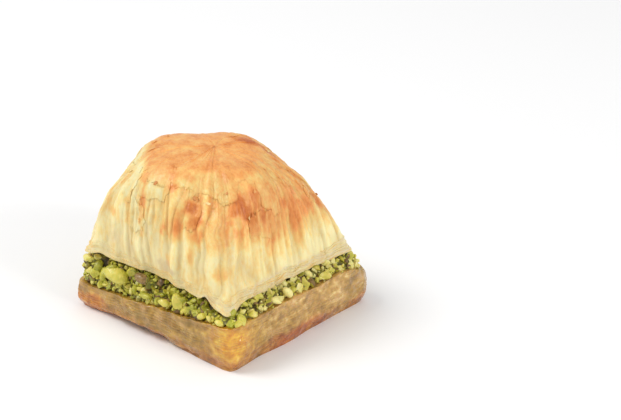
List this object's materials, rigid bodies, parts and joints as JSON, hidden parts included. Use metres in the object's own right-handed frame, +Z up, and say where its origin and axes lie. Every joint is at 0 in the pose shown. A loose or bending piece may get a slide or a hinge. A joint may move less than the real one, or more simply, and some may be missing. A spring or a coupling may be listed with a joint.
{
  "type": "baklava piece",
  "caption": "Square piece of puffed pistachio baklava: a pressed pastry base, a layer of chopped nuts that runs through, and a domed crown of baked leaves.",
  "frame": {"origin": "middle of the piece's footprint, on the surface it stands on", "axes": "+Z up; the cut sides face X and Y; the thin side of the base faces -X and the thick side +X"},
  "size_m": [0.0453, 0.0454, 0.0365],
  "materials": {
    "syrup_soaked_pastry": "pressed pastry leaves soaked with syrup: tan to amber, a little translucent, moist gloss",
    "chopped_pistachio": "coarsely chopped green pistachios, some with their brown-purple skin, moist",
    "baked_leaves": "thin baked leaves: golden orange on top, cream towards the rim, browned along the folds"
  },
  "bodies": {
    "root": {"base_pastry": "syrup_soaked_pastry", "pistachio_filling": "chopped_pistachio", "puffed_crown": "baked_leaves"}
  },
  "joints": []
}
